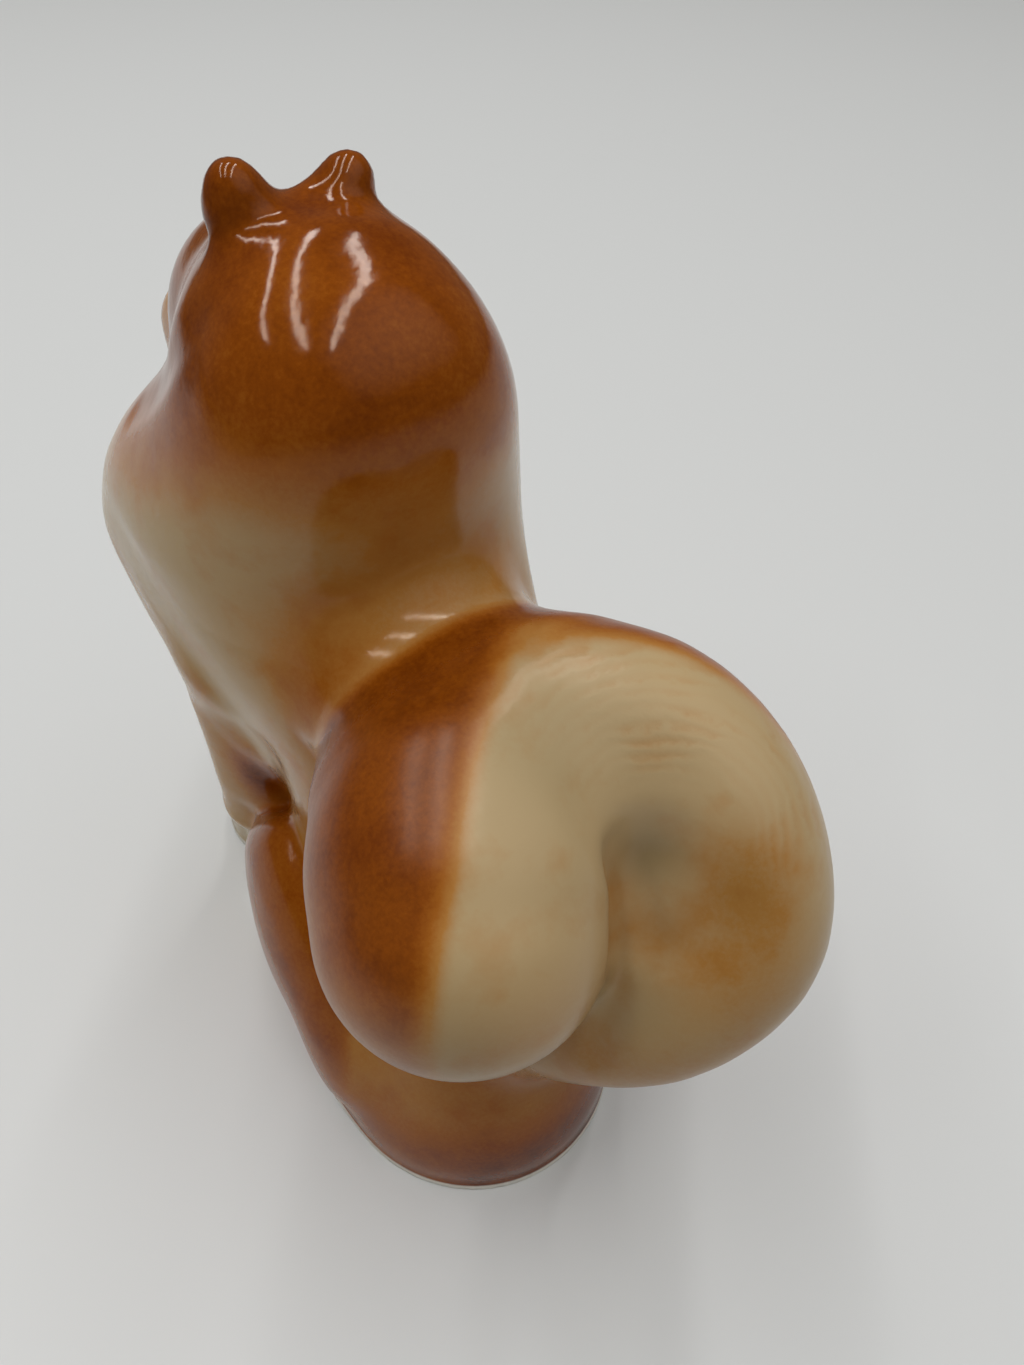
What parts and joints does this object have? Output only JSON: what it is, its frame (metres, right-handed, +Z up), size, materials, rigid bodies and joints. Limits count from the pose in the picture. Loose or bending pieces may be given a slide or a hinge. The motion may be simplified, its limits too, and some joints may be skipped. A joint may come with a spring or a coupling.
{
  "type": "dog figurine",
  "caption": "Seated spitz dog figurine in glazed porcelain, with a full ruff, small upright ears and a bushy tail curled over its back.",
  "frame": {"origin": "on the table, under the middle of the round foot at the base of the rump, on the body's midline", "axes": "+Z up, the dog faces -Y, +X is the dog's own left side"},
  "size_m": [0.0424, 0.0815, 0.0962],
  "materials": {
    "rust_glaze": "clear gloss glaze over sprayed rust-orange underglaze colour on white porcelain",
    "tan_glaze": "clear gloss glaze over sprayed tan and rust underglaze colour on white porcelain",
    "white_glaze": "clear gloss glaze on bare white porcelain, with a light brown spray"
  },
  "bodies": {
    "root": {"trunk_shell": "tan_glaze", "head_shell": "rust_glaze", "left_ear": "rust_glaze", "right_ear": "rust_glaze", "left_foreleg": "white_glaze", "right_foreleg": "white_glaze", "left_haunch": "tan_glaze", "right_haunch": "tan_glaze", "left_hind_paw": "white_glaze", "right_hind_paw": "white_glaze", "tail_curl": "tan_glaze"}
  },
  "joints": []
}
